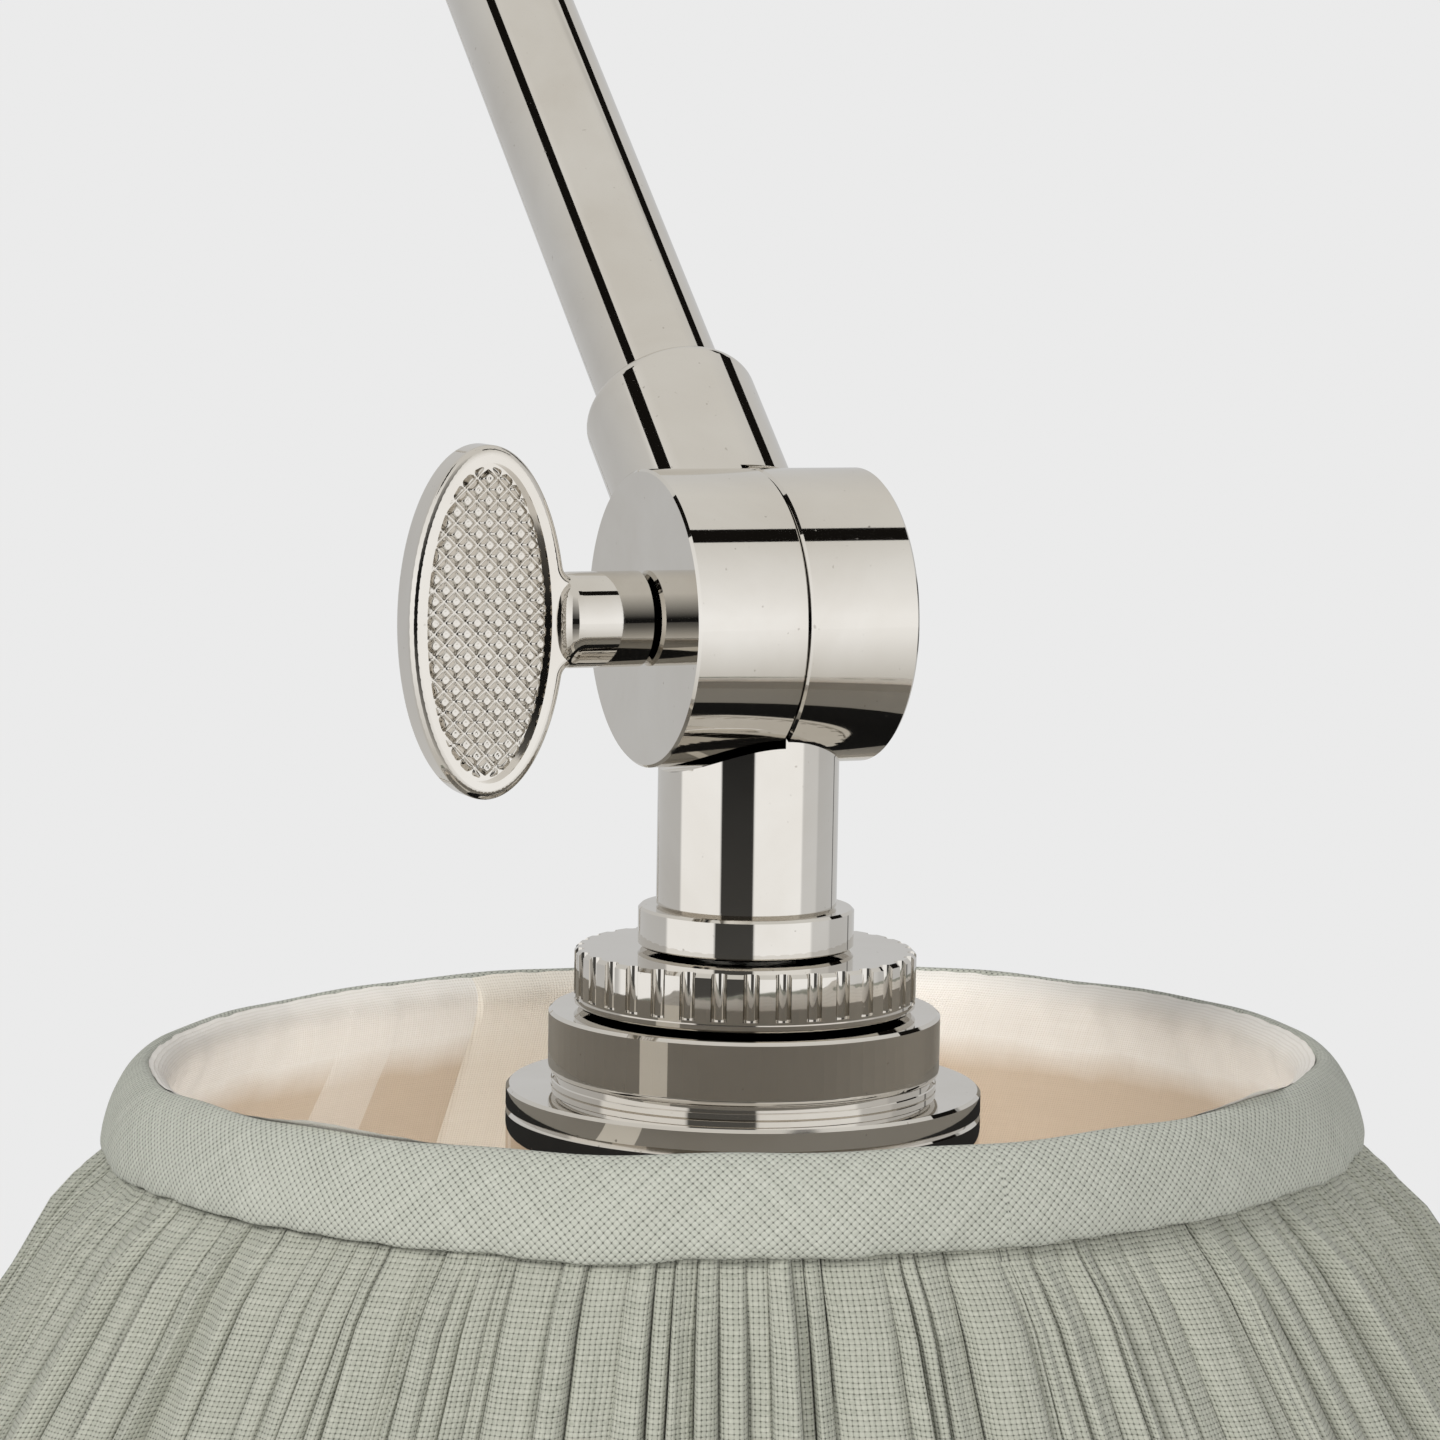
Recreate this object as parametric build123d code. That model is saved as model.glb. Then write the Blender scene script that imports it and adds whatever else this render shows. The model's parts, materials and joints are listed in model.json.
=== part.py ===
from build123d import *
import os
from math import cos, sin, radians

os.makedirs("parts", exist_ok=True)

# Pharmacy floor lamp, millimetres. The origin is the middle of the base's underside, +Z up.
# The arm comes down from the pole top towards +X, and every thumb key points to -Y.

# whole lamp
pole_top_height = 1330      # centre of the pole-top knuckle
arm_drop_angle = 41.5       # arm below the horizontal
arm_reach = 595             # between the two knuckle centres
shaft_clearance = 0.05      # radial, where a shaft is fixed in a bore
running_clearance = 0.08    # radial, where a shaft turns or slides
face_gap = 0.1              # between faces that move past each other

# base
base_radius = 130
rim_height = 12
shoulder_radius = 122
shoulder_height = 19
crown_radius = 24
crown_height = 27
cover_wall = 1.6
cover_lift = 1             # the cover's rim hangs clear of the floor
cover_rounding = 1.5
pad_radius = 126
pad_thickness = 3
weight_height = 14
lead_slot_width = 8
lead_slot_depth = 7
bushing_radius = 5
bushing_lip = 1.5

# threaded tubes
nipple_radius = 5
nipple_bore = 3.8
nut_flats = 15
nut_height = 5
washer_height = 1

# pole and rod
pole_radius = 12.7
pole_wall = 1.5
pole_foot = 40
pole_length = 786
ferrule_radius = 22
ferrule_height = 36
rod_radius = 8
rod_wall = 1.4
rod_length = 775
clutch_radius = 16
clutch_height = 40
clutch_socket = 14
bush_radius = 10.5
bush_height = 20
clutch_cap_height = 6
clutch_boss_reach = 4
clutch_chamfer = 0.8
bush_split = 1.2
guide_length = 14
spigot_length = 12
rod_plug_length = 16
swivel_washer_height = 0.5
swivel_gap = 0.05

# knuckles
knuckle_radius = 14
head_half_length = 11.1
top_half_length = 17.5
knuckle_wall = 3
chamber_radius = 9.5
hardware_wall = 1.8
hardware_recess = 4.7
boss_radius = 8.6
stem_length = 27.65
sleeve_length = 29
sleeve_socket = 12
sleeve_rounding = 1.6
saddle_gap = 0.5
wire_bore = 4.4
friction_width = 2.6
friction_thickness = 0.6
rim_chamfer = 0.25
spring_thickness = 0.8
pivot_nut_flats = 8
pivot_nut_height = 2.7
knuckle_cap_height = 0.9

# thumb key
key_width = 15.4
key_height = 32.8
key_thickness = 4.6
key_rim = 1.6
key_recess = 1.0
key_neck_radius = 4.5
key_neck_length = 8.3
key_web_radius = 1.3
key_web_reach = 2.2
key_nose_lap = 1.0
key_nose_rounding = 1.9
shank_radius = 2.5
shank_end_play = 3.5

# arm tube
arm_radius = 6.35
arm_wall = 1.1

# socket stack, measured down from the head knuckle's centre
collar_radius = 10.3
collar_height = 3.8
ring_radius = 16.3
ring_top = 31.75
ring_height = 5.5
ring_groove_count = 34
ring_groove_width = 1.5
ring_groove_depth = 0.85
ring_score_low = 0.75
ring_score_height = 0.3
cap_radius = 18.7
cap_top = 37.6
cap_height = 6.1
cap_rounding = 0.7
cap_groove_radius = 17.9
cap_groove_height = 0.5
cap_foot_radius = 18.4
cap_foot_height = 0.7
flange_radius = 22.7
flange_height = 2.3
cup_height = 32
cup_wall = 1.2
socket_radius = 19
socket_neck_radius = 16.6
socket_top = 60
socket_shoulder = 83
socket_bottom = 93
socket_floor = 72
shell_radius = 13.6
shell_wall = 0.5
knob_radius = 5
knob_length = 10
knob_drop = 65
knob_shaft_radius = 1.6
knob_gap = 1.2
knob_flute_count = 12
knob_flute_radius = 0.6

# bulb
bulb_base_radius = 12.9
bulb_neck_radius = 12.5
bulb_radius = 24
bulb_middle = 128
bulb_wall = 0.8

# shade, depths measured down from its top edge
shade_drop = 41.3
shade_depth = 125
shade_top_radius = 55.6
shade_bottom_radius = 140
cover_inset = 0.3
cover_thickness = 1.2
rib_inset = 3.3
rib_radius = 0.6
ring_inset = 2.9
ring_wire_radius = 1.0
lining_inset = 4.3
lining_thickness = 0.6
binding_thickness = 0.8
binding_width = 10
binding_lip = 3.5
inner_edge_radius = 49.8
rib_count = 8
shade_lean = 1.6            # the hand-bent frame sits a little out of level
shade_lean_turn = 27        # where its high side is, from +X
shade_offset = (-0.5, -1.1)
spoke_radius = 1.5
spoke_drop = 30
fitter_radius = 22
fitter_height = 2
fabric_edge_gap = 1.5
fold_height = 1.2
binding_slack = 0.1
top_ring_depth = 3.5
bottom_ring_rise = 4

# places worked out from the sizes above
arm_turn = 90 + arm_drop_angle
arm_plane = -top_half_length
head_x = arm_reach * cos(radians(arm_drop_angle))
head_z = pole_top_height - arm_reach * sin(radians(arm_drop_angle))
top = Pos(0, -top_half_length / 2, pole_top_height)
head = Pos(head_x, arm_plane, head_z)
collar_bottom = stem_length + collar_height
flange_top = cap_top + cap_height + cap_groove_height + cap_foot_height
cup_top = flange_top + flange_height
rod_top = pole_top_height - collar_bottom - swivel_washer_height - 2 * swivel_gap
clutch_top = pole_foot + pole_length + clutch_height - clutch_socket
shade_slope = (shade_bottom_radius - shade_top_radius) / shade_depth
bottom_ring_depth = shade_depth - bottom_ring_rise
bush_low = clutch_top - bush_height
key_reach = key_neck_length + key_width / 2


def rod(radius, low, high):
    """A cylinder on the Z axis."""
    return Pos(0, 0, low) * Cylinder(radius, high - low, align=(Align.CENTER, Align.CENTER, Align.MIN))


def pipe(radius, bore, low, high):
    """A tube on the Z axis."""
    return rod(radius, low, high) - rod(bore, low, high)


def cross_rod(radius, low, high):
    """A cylinder on the Y axis."""
    return Rot(-90, 0, 0) * rod(radius, low, high)


def turned(*outline):
    """A solid turned about Z from (radius, height) points."""
    points = [(radius, 0, height) for radius, height in outline]
    return revolve(make_face(Polyline(*points, close=True)), axis=Axis.Z)


def wire(start, end, radius):
    """A straight round wire between two points."""
    run = Vector(end) - Vector(start)
    return extrude(Plane(origin=start, z_dir=run) * Circle(radius), run.length)


def hex_nut(flats, bore, low, height):
    """A hexagonal nut on the Z axis."""
    blank = extrude(Pos(0, 0, low) * RegularPolygon(flats / 2, 6, major_radius=False), height)
    return blank - rod(bore, low, low + height)


def save(shape, node):
    """Writes one sub-part."""
    export_step(shape, "parts/" + node + ".step")


# base
def base_pad():
    return rod(pad_radius, 0, pad_thickness)


def base_weight():
    low = pad_thickness
    high = low + weight_height
    disc = rod(shoulder_radius - 2 * cover_wall, low, high)
    disc -= rod(nipple_radius + shaft_clearance, low, high)
    disc -= rod(nut_flats, low, low + lead_slot_depth)
    slot = Box(base_radius, lead_slot_width, lead_slot_depth, align=(Align.MAX, Align.CENTER, Align.MIN))
    return disc - Pos(0, 0, low) * slot


def base_cover():
    foot = cover_lift
    wall = cover_wall
    outside = turned(
        (0, foot), (base_radius, foot), (base_radius, rim_height), (shoulder_radius, rim_height + 2),
        (shoulder_radius, shoulder_height), (crown_radius, crown_height), (0, crown_height),
    )
    outside = fillet(outside.edges().filter_by(GeomType.CIRCLE).group_by(Axis.Z)[1:-1], cover_rounding)
    inside = turned(
        (0, foot - 1), (base_radius - wall, foot - 1), (base_radius - wall, rim_height - wall),
        (shoulder_radius - wall, rim_height), (shoulder_radius - wall, shoulder_height - wall),
        (crown_radius, crown_height - wall), (0, crown_height - wall),
    )
    cover = outside - inside - rod(nipple_radius + shaft_clearance, 0, crown_height)
    inlet = Rot(0, 90, 0) * Cylinder(bushing_radius - 1, bushing_radius)
    inlet = Pos(-base_radius, 0, rim_height / 2) * inlet
    return cover - inlet


def cord_bushing():
    collar = rod(bushing_radius, 0, bushing_lip)
    collar += rod(bushing_radius - 1 - shaft_clearance, -cover_wall - 1, 0)
    bushing = collar - rod(bushing_radius - 2, -cover_wall - 1, bushing_lip)
    return Pos(-base_radius, 0, rim_height / 2) * Rot(0, -90, 0) * bushing


def base_nipple():
    return pipe(nipple_radius, nipple_bore, pad_thickness + 1, pole_foot + spigot_length)


def base_washer():
    high = pad_thickness + lead_slot_depth
    return pipe(nut_flats - 2, nipple_radius + shaft_clearance, high - washer_height, high)


def base_nut():
    low = pad_thickness + lead_slot_depth - washer_height - nut_height
    return hex_nut(nut_flats, nipple_radius, low, nut_height)


def pole_ferrule():
    low = crown_height
    high = low + ferrule_height
    outside = turned(
        (0, low), (ferrule_radius, low), (ferrule_radius, low + 5), (ferrule_radius - 3, low + 7),
        (pole_radius + 4, low + 10), (pole_radius + 3, high - 3), (pole_radius + 3, high), (0, high),
    )
    outside = fillet(outside.edges().filter_by(GeomType.CIRCLE).group_by(Axis.Z)[1:4], 1)
    socket = rod(pole_radius + shaft_clearance, pole_foot, high)
    return outside - socket - rod(nipple_radius, low, pole_foot)


# pole, clutch and rod
def lower_pole():
    return pipe(pole_radius, pole_radius - pole_wall, pole_foot, pole_foot + pole_length)


def clutch_collar():
    low = clutch_top - clutch_height
    seat = low + clutch_socket
    body = rod(clutch_radius, low, clutch_top)
    body = chamfer(body.edges().filter_by(GeomType.CIRCLE), clutch_chamfer)
    key_level = Pos(0, 0, bush_low + bush_height / 2)
    body += key_level * cross_rod(key_neck_radius + 2, -clutch_radius - clutch_boss_reach, 0)
    body -= rod(pole_radius + shaft_clearance, low, seat)
    body -= rod(rod_radius + 1, seat, bush_low)
    body -= rod(bush_radius + shaft_clearance, bush_low, clutch_top)
    tapped = cross_rod(shank_radius + running_clearance, -2 * clutch_radius, 0)
    return body - key_level * tapped


def clutch_bush():
    sleeve = pipe(bush_radius, rod_radius + running_clearance, bush_low, clutch_top)
    split = Box(2 * clutch_radius, bush_split, bush_height, align=(Align.MIN, Align.CENTER, Align.MIN))
    return sleeve - Pos(0, 0, bush_low) * split


def clutch_cap():
    low = clutch_top
    high = low + clutch_cap_height
    bore = rod_radius + running_clearance
    side = clutch_radius - 1
    return turned(
        (bore, low), (side, low), (side, (low + high) / 2), (rod_radius + 2, high), (bore, high),
    )


def upper_rod():
    return pipe(rod_radius, rod_radius - rod_wall, rod_top - rod_length, rod_top)


def rod_guide():
    low = rod_top - rod_length
    plug = rod(pole_radius - pole_wall - running_clearance, low - guide_length, low)
    plug += rod(rod_radius - rod_wall - shaft_clearance, low, low + spigot_length)
    return plug - rod(nipple_bore, low - guide_length, low + spigot_length)


def rod_plug():
    bore = nipple_radius + shaft_clearance
    return pipe(rod_radius - rod_wall - shaft_clearance, bore, rod_top - rod_plug_length, rod_top)


def swivel_stud():
    low = rod_top - rod_plug_length + 1
    return pipe(nipple_radius, nipple_bore, low, rod_top + rod_plug_length)


def swivel_washer():
    low = rod_top + swivel_gap
    bore = nipple_radius + running_clearance
    return pipe(rod_radius - rim_chamfer, bore, low, low + swivel_washer_height)


# knuckle pieces, about a centre on the seam, with the hinge on Y
def knuckle_half(side, length, boss_turn, boss_length, boss_bore, bore_depth, rounded, centred):
    """One half: a disc on Y with a round boss that leaves it at a right angle to the hinge."""
    seam = side * face_gap / 2
    end = side * length
    disc = cross_rod(knuckle_radius, min(seam, end), max(seam, end))
    disc = chamfer(disc.edges().filter_by(GeomType.CIRCLE), rim_chamfer)
    shift = Pos(0, 0 if centred else side * length / 2, 0)
    boss = rod(boss_radius, 0, boss_length)
    if rounded:
        boss = fillet(boss.edges().group_by(Axis.Z)[-1], sleeve_rounding)
    else:
        boss = chamfer(boss.edges().group_by(Axis.Z)[-1], rim_chamfer)
    lead_way = rod(wire_bore, 0, boss_length) + rod(boss_bore, boss_length - bore_depth, boss_length)
    boss = shift * Rot(0, boss_turn, 0) * boss
    lead_way = shift * Rot(0, boss_turn, 0) * lead_way
    far = -side * (length + knuckle_radius)
    saddle = cross_rod(knuckle_radius + saddle_gap, min(seam, far), max(seam, far))
    half = disc + (boss - saddle)
    inner = side * (length - knuckle_wall) if side < 0 else length - hardware_recess - hardware_wall
    half -= cross_rod(chamber_radius, min(seam, inner), max(seam, inner))
    half -= cross_rod(shank_radius + running_clearance, -length, length)
    return half - lead_way


def key_side_half(length, turn, centred):
    bore = arm_radius + shaft_clearance
    return knuckle_half(-1, length, turn, sleeve_length, bore, sleeve_socket, True, centred)


def nut_side_half(length, centred):
    bore = nipple_radius + shaft_clearance
    half = knuckle_half(1, length, 180, stem_length, bore, sleeve_socket, False, centred)
    half -= cross_rod(chamber_radius, length - hardware_recess, length)
    seat_low = face_gap / 2
    seat = cross_rod(chamber_radius + friction_width, seat_low, seat_low + friction_thickness)
    return half - seat


def friction_washer():
    ring = cross_rod(chamber_radius + friction_width - shaft_clearance, 0, friction_thickness)
    return Pos(0, 0.02, 0) * (ring - cross_rod(chamber_radius, 0, friction_thickness))


def spring_washer(length):
    low = length - hardware_recess
    high = low + spring_thickness
    return cross_rod(2 * shank_radius, low, high) - cross_rod(shank_radius + face_gap, low, high)


def lock_nut(length):
    nut = hex_nut(pivot_nut_flats, shank_radius + running_clearance, 0, pivot_nut_height)
    seat = length - hardware_recess + spring_thickness + shaft_clearance
    return Pos(0, seat, 0) * Rot(-90, 0, 0) * nut


def knuckle_cap(length):
    lid = cross_rod(chamber_radius - shaft_clearance, length - knuckle_cap_height, length)
    return chamfer(lid.edges().filter_by(GeomType.CIRCLE).group_by(Axis.Y)[-1], rim_chamfer)


def thumb_key(shank_length):
    """The key with its neck's end on the XZ plane, pointing to -Y."""
    plate_middle = -key_reach
    oval = Pos(plate_middle, 0) * Ellipse(key_width / 2, key_height / 2)
    neck_line = Pos(plate_middle, 0) * Rectangle(
        key_width / 2 + key_web_reach, 2 * key_neck_radius - 1, align=(Align.MIN, Align.CENTER)
    )
    flat = oval + neck_line
    corners = flat.vertices().sort_by(Axis.X)[-4:].sort_by(Axis.X)[:2]
    flat = fillet(corners, key_web_radius)
    plate = extrude(flat, key_thickness / 2, both=True)
    plate = fillet(plate.edges().filter_by(Plane.XY), 0.9)
    hollow = Pos(plate_middle, 0) * Ellipse(key_width / 2 - key_rim, key_height / 2 - key_rim)
    for face in (-1, 1):
        floor = face * (key_thickness / 2 - key_recess)
        plate -= Pos(0, 0, floor) * extrude(hollow, face * key_thickness)
    # drawn flat with the neck towards +X and the oval's length on Y, then stood up
    plate = Plane(origin=(0, 0, 0), x_dir=(0, 1, 0), z_dir=(1, 0, 0)).location * plate
    nose = key_neck_length + key_nose_lap
    neck = turned(
        (0, 0.3), (key_neck_radius - 0.3, 0.3), (key_neck_radius, 0.6), (key_neck_radius, nose), (0, nose),
    )
    neck = fillet(neck.edges().group_by(Axis.Z)[-1], key_nose_rounding)
    neck = Rot(90, 0, 0) * neck
    shank = cross_rod(shank_radius, -0.5, shank_length)
    return plate + neck + shank


# arm
def arm_tube():
    ends = sleeve_length - sleeve_socket + 0.2
    tube = pipe(arm_radius, arm_radius - arm_wall, ends, arm_reach - ends)
    return Pos(0, arm_plane, pole_top_height) * Rot(0, arm_turn, 0) * tube


# socket stack, about the head knuckle's centre
def stem_collar():
    collar = pipe(collar_radius, nipple_radius + shaft_clearance, -collar_bottom, -stem_length)
    rims = collar.edges().filter_by(GeomType.CIRCLE).sort_by(SortBy.RADIUS)[-2:]
    return chamfer(rims, rim_chamfer)


def socket_nipple():
    return pipe(nipple_radius, nipple_bore, -cup_top - 10, -stem_length + sleeve_socket - 1)


def knurled_ring():
    low = -ring_top - ring_height
    ring = chamfer(rod(ring_radius, low, -ring_top).edges(), 0.35)
    groove_foot = low + ring_score_low + ring_score_height
    score = pipe(ring_radius + 1, ring_radius - ring_score_height, low + ring_score_low, groove_foot)
    ring = ring - score - rod(nipple_radius + running_clearance, low, -ring_top)
    groove = Pos(ring_radius, 0, groove_foot) * Cylinder(
        ring_groove_width / 2, ring_height, align=(Align.CENTER, Align.CENTER, Align.MIN)
    )
    mouth = Pos(ring_radius + ring_groove_depth / 2, 0, groove_foot) * Box(
        ring_groove_depth, ring_groove_width, ring_height, align=(Align.CENTER, Align.CENTER, Align.MIN)
    )
    cutter = Pos(ring_groove_width / 2 - ring_groove_depth, 0, 0) * (groove + mouth)
    for number in range(ring_groove_count):
        ring -= Rot(0, 0, 360 * number / ring_groove_count) * cutter
    return ring


def socket_cap():
    low = -cap_top - cap_height
    cap = rod(cap_radius, low, -cap_top)
    cap = chamfer(cap.edges().group_by(Axis.Z)[-1], 0.3)
    cap = fillet(cap.edges().group_by(Axis.Z)[0], cap_rounding)
    cap += rod(cap_groove_radius, low - cap_groove_height, low)
    foot = rod(cap_foot_radius, -flange_top, -flange_top + cap_foot_height)
    cap += chamfer(foot.edges(), 0.1)
    return cap - rod(nipple_radius + shaft_clearance, -flange_top, -cap_top)


def cup_flange():
    flange = rod(flange_radius, -cup_top, -flange_top)
    flange = chamfer(flange.edges().filter_by(GeomType.CIRCLE), 0.3)
    return flange - rod(nipple_radius + shaft_clearance, -cup_top, -flange_top)


def socket_cup():
    low = -cup_top - cup_height
    cup = rod(flange_radius, low, -cup_top)
    cup = chamfer(cup.edges().filter_by(GeomType.CIRCLE).group_by(Axis.Z)[-1], 0.3)
    cup -= rod(flange_radius - cup_wall, low, -cup_top - 2)
    cup -= rod(nipple_radius + shaft_clearance, low, -cup_top)
    shaft_hole = cross_rod(knob_shaft_radius + 0.4, -flange_radius - 1, -socket_radius)
    return cup - Pos(0, 0, -knob_drop) * shaft_hole


def cup_nut():
    return hex_nut(nut_flats, nipple_radius, -cup_top - 2 - nut_height, nut_height)


def socket_body():
    body = turned(
        (0, -socket_top), (socket_radius, -socket_top), (socket_radius, -socket_shoulder),
        (socket_neck_radius, -socket_shoulder), (socket_neck_radius, -socket_bottom), (0, -socket_bottom),
    )
    body -= rod(shell_radius + shaft_clearance, -socket_bottom, -socket_floor)
    shaft_hole = cross_rod(knob_shaft_radius + running_clearance, -socket_radius - 1, -8)
    return body - Pos(0, 0, -knob_drop) * shaft_hole


def socket_shell():
    low = -socket_bottom + 1
    return pipe(shell_radius, shell_radius - shell_wall, low, -socket_floor - 1)


def socket_contact():
    high = -socket_floor
    return rod(4, high - 1, high) - rod(1, high - 1, high)


def switch_knob():
    inner = flange_radius + knob_gap
    shaft = cross_rod(knob_shaft_radius, -inner, -9)
    knob = cross_rod(knob_radius, -inner - knob_length, -inner)
    knob = fillet(knob.edges().group_by(Axis.Y)[0], knob_gap)
    for number in range(knob_flute_count):
        flute = cross_rod(knob_flute_radius, -inner - knob_length, -inner)
        angle = radians(360 * number / knob_flute_count)
        knob -= Pos(knob_radius * cos(angle), 0, knob_radius * sin(angle)) * flute
    return Pos(0, 0, -knob_drop) * (knob + shaft)


def bulb_base():
    high = -socket_floor - 2
    low = -socket_bottom - 1
    base = turned((0, high), (4, high), (bulb_base_radius, high - 4), (bulb_base_radius, low), (0, low))
    return base


def bulb_glass():
    high = -socket_bottom - 1
    layers = []
    for inset in (0, bulb_wall):
        waist = (bulb_neck_radius - inset, 0, high)
        side = Spline(
            waist, (bulb_radius - inset, 0, -bulb_middle), (0, 0, -bulb_middle - bulb_radius + inset),
            tangents=((0, 0, -1), (-1, 0, 0)),
        )
        edge = side + Polyline((0, 0, -bulb_middle - bulb_radius + inset), (0, 0, high), waist)
        layers.append(revolve(make_face(edge), axis=Axis.Z))
    return layers[0] - layers[1]


# shade, about the head knuckle's centre; every wall leans out by the same slope
def cone_wall(inset, thickness, first, last):
    """A slanted wall between two depths below the shade's top edge."""
    outline = []
    for shift, depth in ((0, first), (0, last), (thickness, last), (thickness, first)):
        outline.append((shade_top_radius - inset - shift + shade_slope * depth, -shade_drop - depth))
    return turned(*outline)


def crooked(shape):
    """Moves a piece of the shade to where the frame really sits."""
    turn_back = Rot(0, 0, -shade_lean_turn) * Pos(0, 0, shade_drop)
    lean = Pos(0, 0, -shade_drop) * Rot(0, 0, shade_lean_turn) * Rot(0, -shade_lean, 0)
    return Pos(*shade_offset, 0) * lean * turn_back * shape


def rib_point(turn, depth):
    radius = shade_top_radius - rib_inset + shade_slope * depth
    straight = Pos(radius * cos(radians(turn)), radius * sin(radians(turn)), -shade_drop - depth)
    return crooked(straight).position


def shade_ring(depth):
    radius = shade_top_radius - ring_inset + shade_slope * depth
    return crooked(Pos(0, 0, -shade_drop - depth) * Torus(radius, ring_wire_radius))


def shade_cover():
    return crooked(cone_wall(cover_inset, cover_thickness, fabric_edge_gap, shade_depth - fabric_edge_gap))


def rib_set(radius):
    ribs = []
    for number in range(rib_count):
        turn = 360 * number / rib_count
        ribs.append(wire(rib_point(turn, top_ring_depth), rib_point(turn, bottom_ring_depth), radius))
    return ribs


def shade_ribs():
    rings = [shade_ring(top_ring_depth), shade_ring(bottom_ring_depth)]
    return Compound([rib - rings[0] - rings[1] for rib in rib_set(rib_radius)])


def spokes(radius):
    out = []
    for number in range(rib_count // 2):
        turn = 45 + 90 * number
        near = (
            (fitter_radius - 2) * cos(radians(turn)), (fitter_radius - 2) * sin(radians(turn)),
            -socket_shoulder - 1,
        )
        out.append(wire(near, rib_point(turn, spoke_drop), radius))
    return out


def shade_fitter():
    low = -socket_shoulder - fitter_height
    fitter = pipe(fitter_radius, socket_neck_radius + shaft_clearance, low, -socket_shoulder)
    for spoke in spokes(spoke_radius):
        fitter += spoke
    for rib in rib_set(rib_radius + shaft_clearance):
        fitter -= rib
    clear = rod(fitter_radius - 3, -socket_shoulder, -socket_top)
    return fitter - clear - rod(socket_neck_radius + shaft_clearance, -socket_bottom, -socket_shoulder)


def fitter_nut():
    high = -socket_shoulder - fitter_height - friction_thickness
    nut = pipe(fitter_radius - 1, socket_neck_radius, high - nut_height, high)
    return chamfer(nut.edges().group_by(Axis.Z)[0].sort_by(SortBy.RADIUS)[-1], clutch_chamfer)


def shade_lining():
    last = shade_depth - fabric_edge_gap
    wall = crooked(cone_wall(lining_inset, lining_thickness, fabric_edge_gap, last))
    for spoke in spokes(spoke_radius + face_gap):
        wall -= spoke
    return wall


def binding(first, last, edge):
    """A strip folded over an edge of the shade, with a band outside and a lip inside."""
    near = cover_inset - binding_slack
    band = cone_wall(near - binding_thickness, binding_thickness, first, last)
    inside = shade_top_radius - inner_edge_radius - binding_thickness
    lip_first = edge if edge == 0 else last - binding_lip
    lip_last = binding_lip if edge == 0 else last
    lip = cone_wall(inside, binding_thickness, lip_first, lip_last)
    fold_first = 0 if edge == 0 else last - fold_height
    fold = cone_wall(near, inside - near + binding_slack, fold_first, fold_first + fold_height)
    return crooked(band + fold + lip)


# write every piece
save(base_pad(), "base_pad")
save(base_weight(), "base_weight")
save(base_cover(), "base_cover")
save(cord_bushing(), "cord_bushing")
save(base_nipple(), "base_nipple")
save(base_washer(), "base_washer")
save(base_nut(), "base_nut")
save(pole_ferrule(), "pole_ferrule")
save(lower_pole(), "lower_pole")
save(clutch_collar(), "clutch_collar")
save(clutch_bush(), "clutch_bush")
save(clutch_cap(), "clutch_cap")
save(upper_rod(), "upper_rod")
save(rod_guide(), "rod_guide")
save(rod_plug(), "rod_plug")
save(swivel_stud(), "swivel_stud")
save(swivel_washer(), "swivel_washer")

clutch_face = clutch_radius + clutch_boss_reach
height_key_place = Pos(0, -clutch_face, bush_low + bush_height / 2)
save(height_key_place * thumb_key(clutch_face - bush_radius - 2 * face_gap), "height_key")

knuckles = (
    ("top", top, top_half_length, arm_turn, False),
    ("head", head, head_half_length, arm_turn - 180, True),
)
for name, place, length, turn, centred in knuckles:
    save(place * key_side_half(length, turn, centred), name + "_knuckle_sleeve")
    save(place * nut_side_half(length, centred), name + "_knuckle_stem")
    save(place * friction_washer(), name + "_friction_washer")
    save(place * spring_washer(length), name + "_spring_washer")
    save(place * lock_nut(length), name + "_pivot_nut")
    save(place * knuckle_cap(length), name + "_knuckle_cap")
    shank_end = 2 * length - hardware_recess + shank_end_play
    save(place * Pos(0, -length, 0) * thumb_key(shank_end), name + "_key")

save(Pos(0, 0, pole_top_height) * stem_collar(), "top_collar")
save(arm_tube(), "arm_tube")

stack = {
    "stem_collar": stem_collar, "socket_nipple": socket_nipple, "knurled_ring": knurled_ring,
    "socket_cap": socket_cap, "cup_flange": cup_flange, "socket_cup": socket_cup, "cup_nut": cup_nut,
    "socket_body": socket_body, "socket_shell": socket_shell, "socket_contact": socket_contact,
    "switch_knob": switch_knob, "bulb_base": bulb_base, "bulb_glass": bulb_glass,
    "shade_fitter": shade_fitter, "fitter_nut": fitter_nut, "shade_cover": shade_cover,
    "shade_lining": shade_lining, "shade_ribs": shade_ribs,
}
for node, make in stack.items():
    save(head * make(), node)

save(head * shade_ring(top_ring_depth), "shade_top_ring")
save(head * shade_ring(bottom_ring_depth), "shade_bottom_ring")
save(head * binding(0, binding_width, 0), "top_binding")
save(head * binding(shade_depth - binding_width, shade_depth, 1), "bottom_binding")
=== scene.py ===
import bpy
import json
import math
import numpy as np
from mathutils import Matrix, Vector


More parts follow.
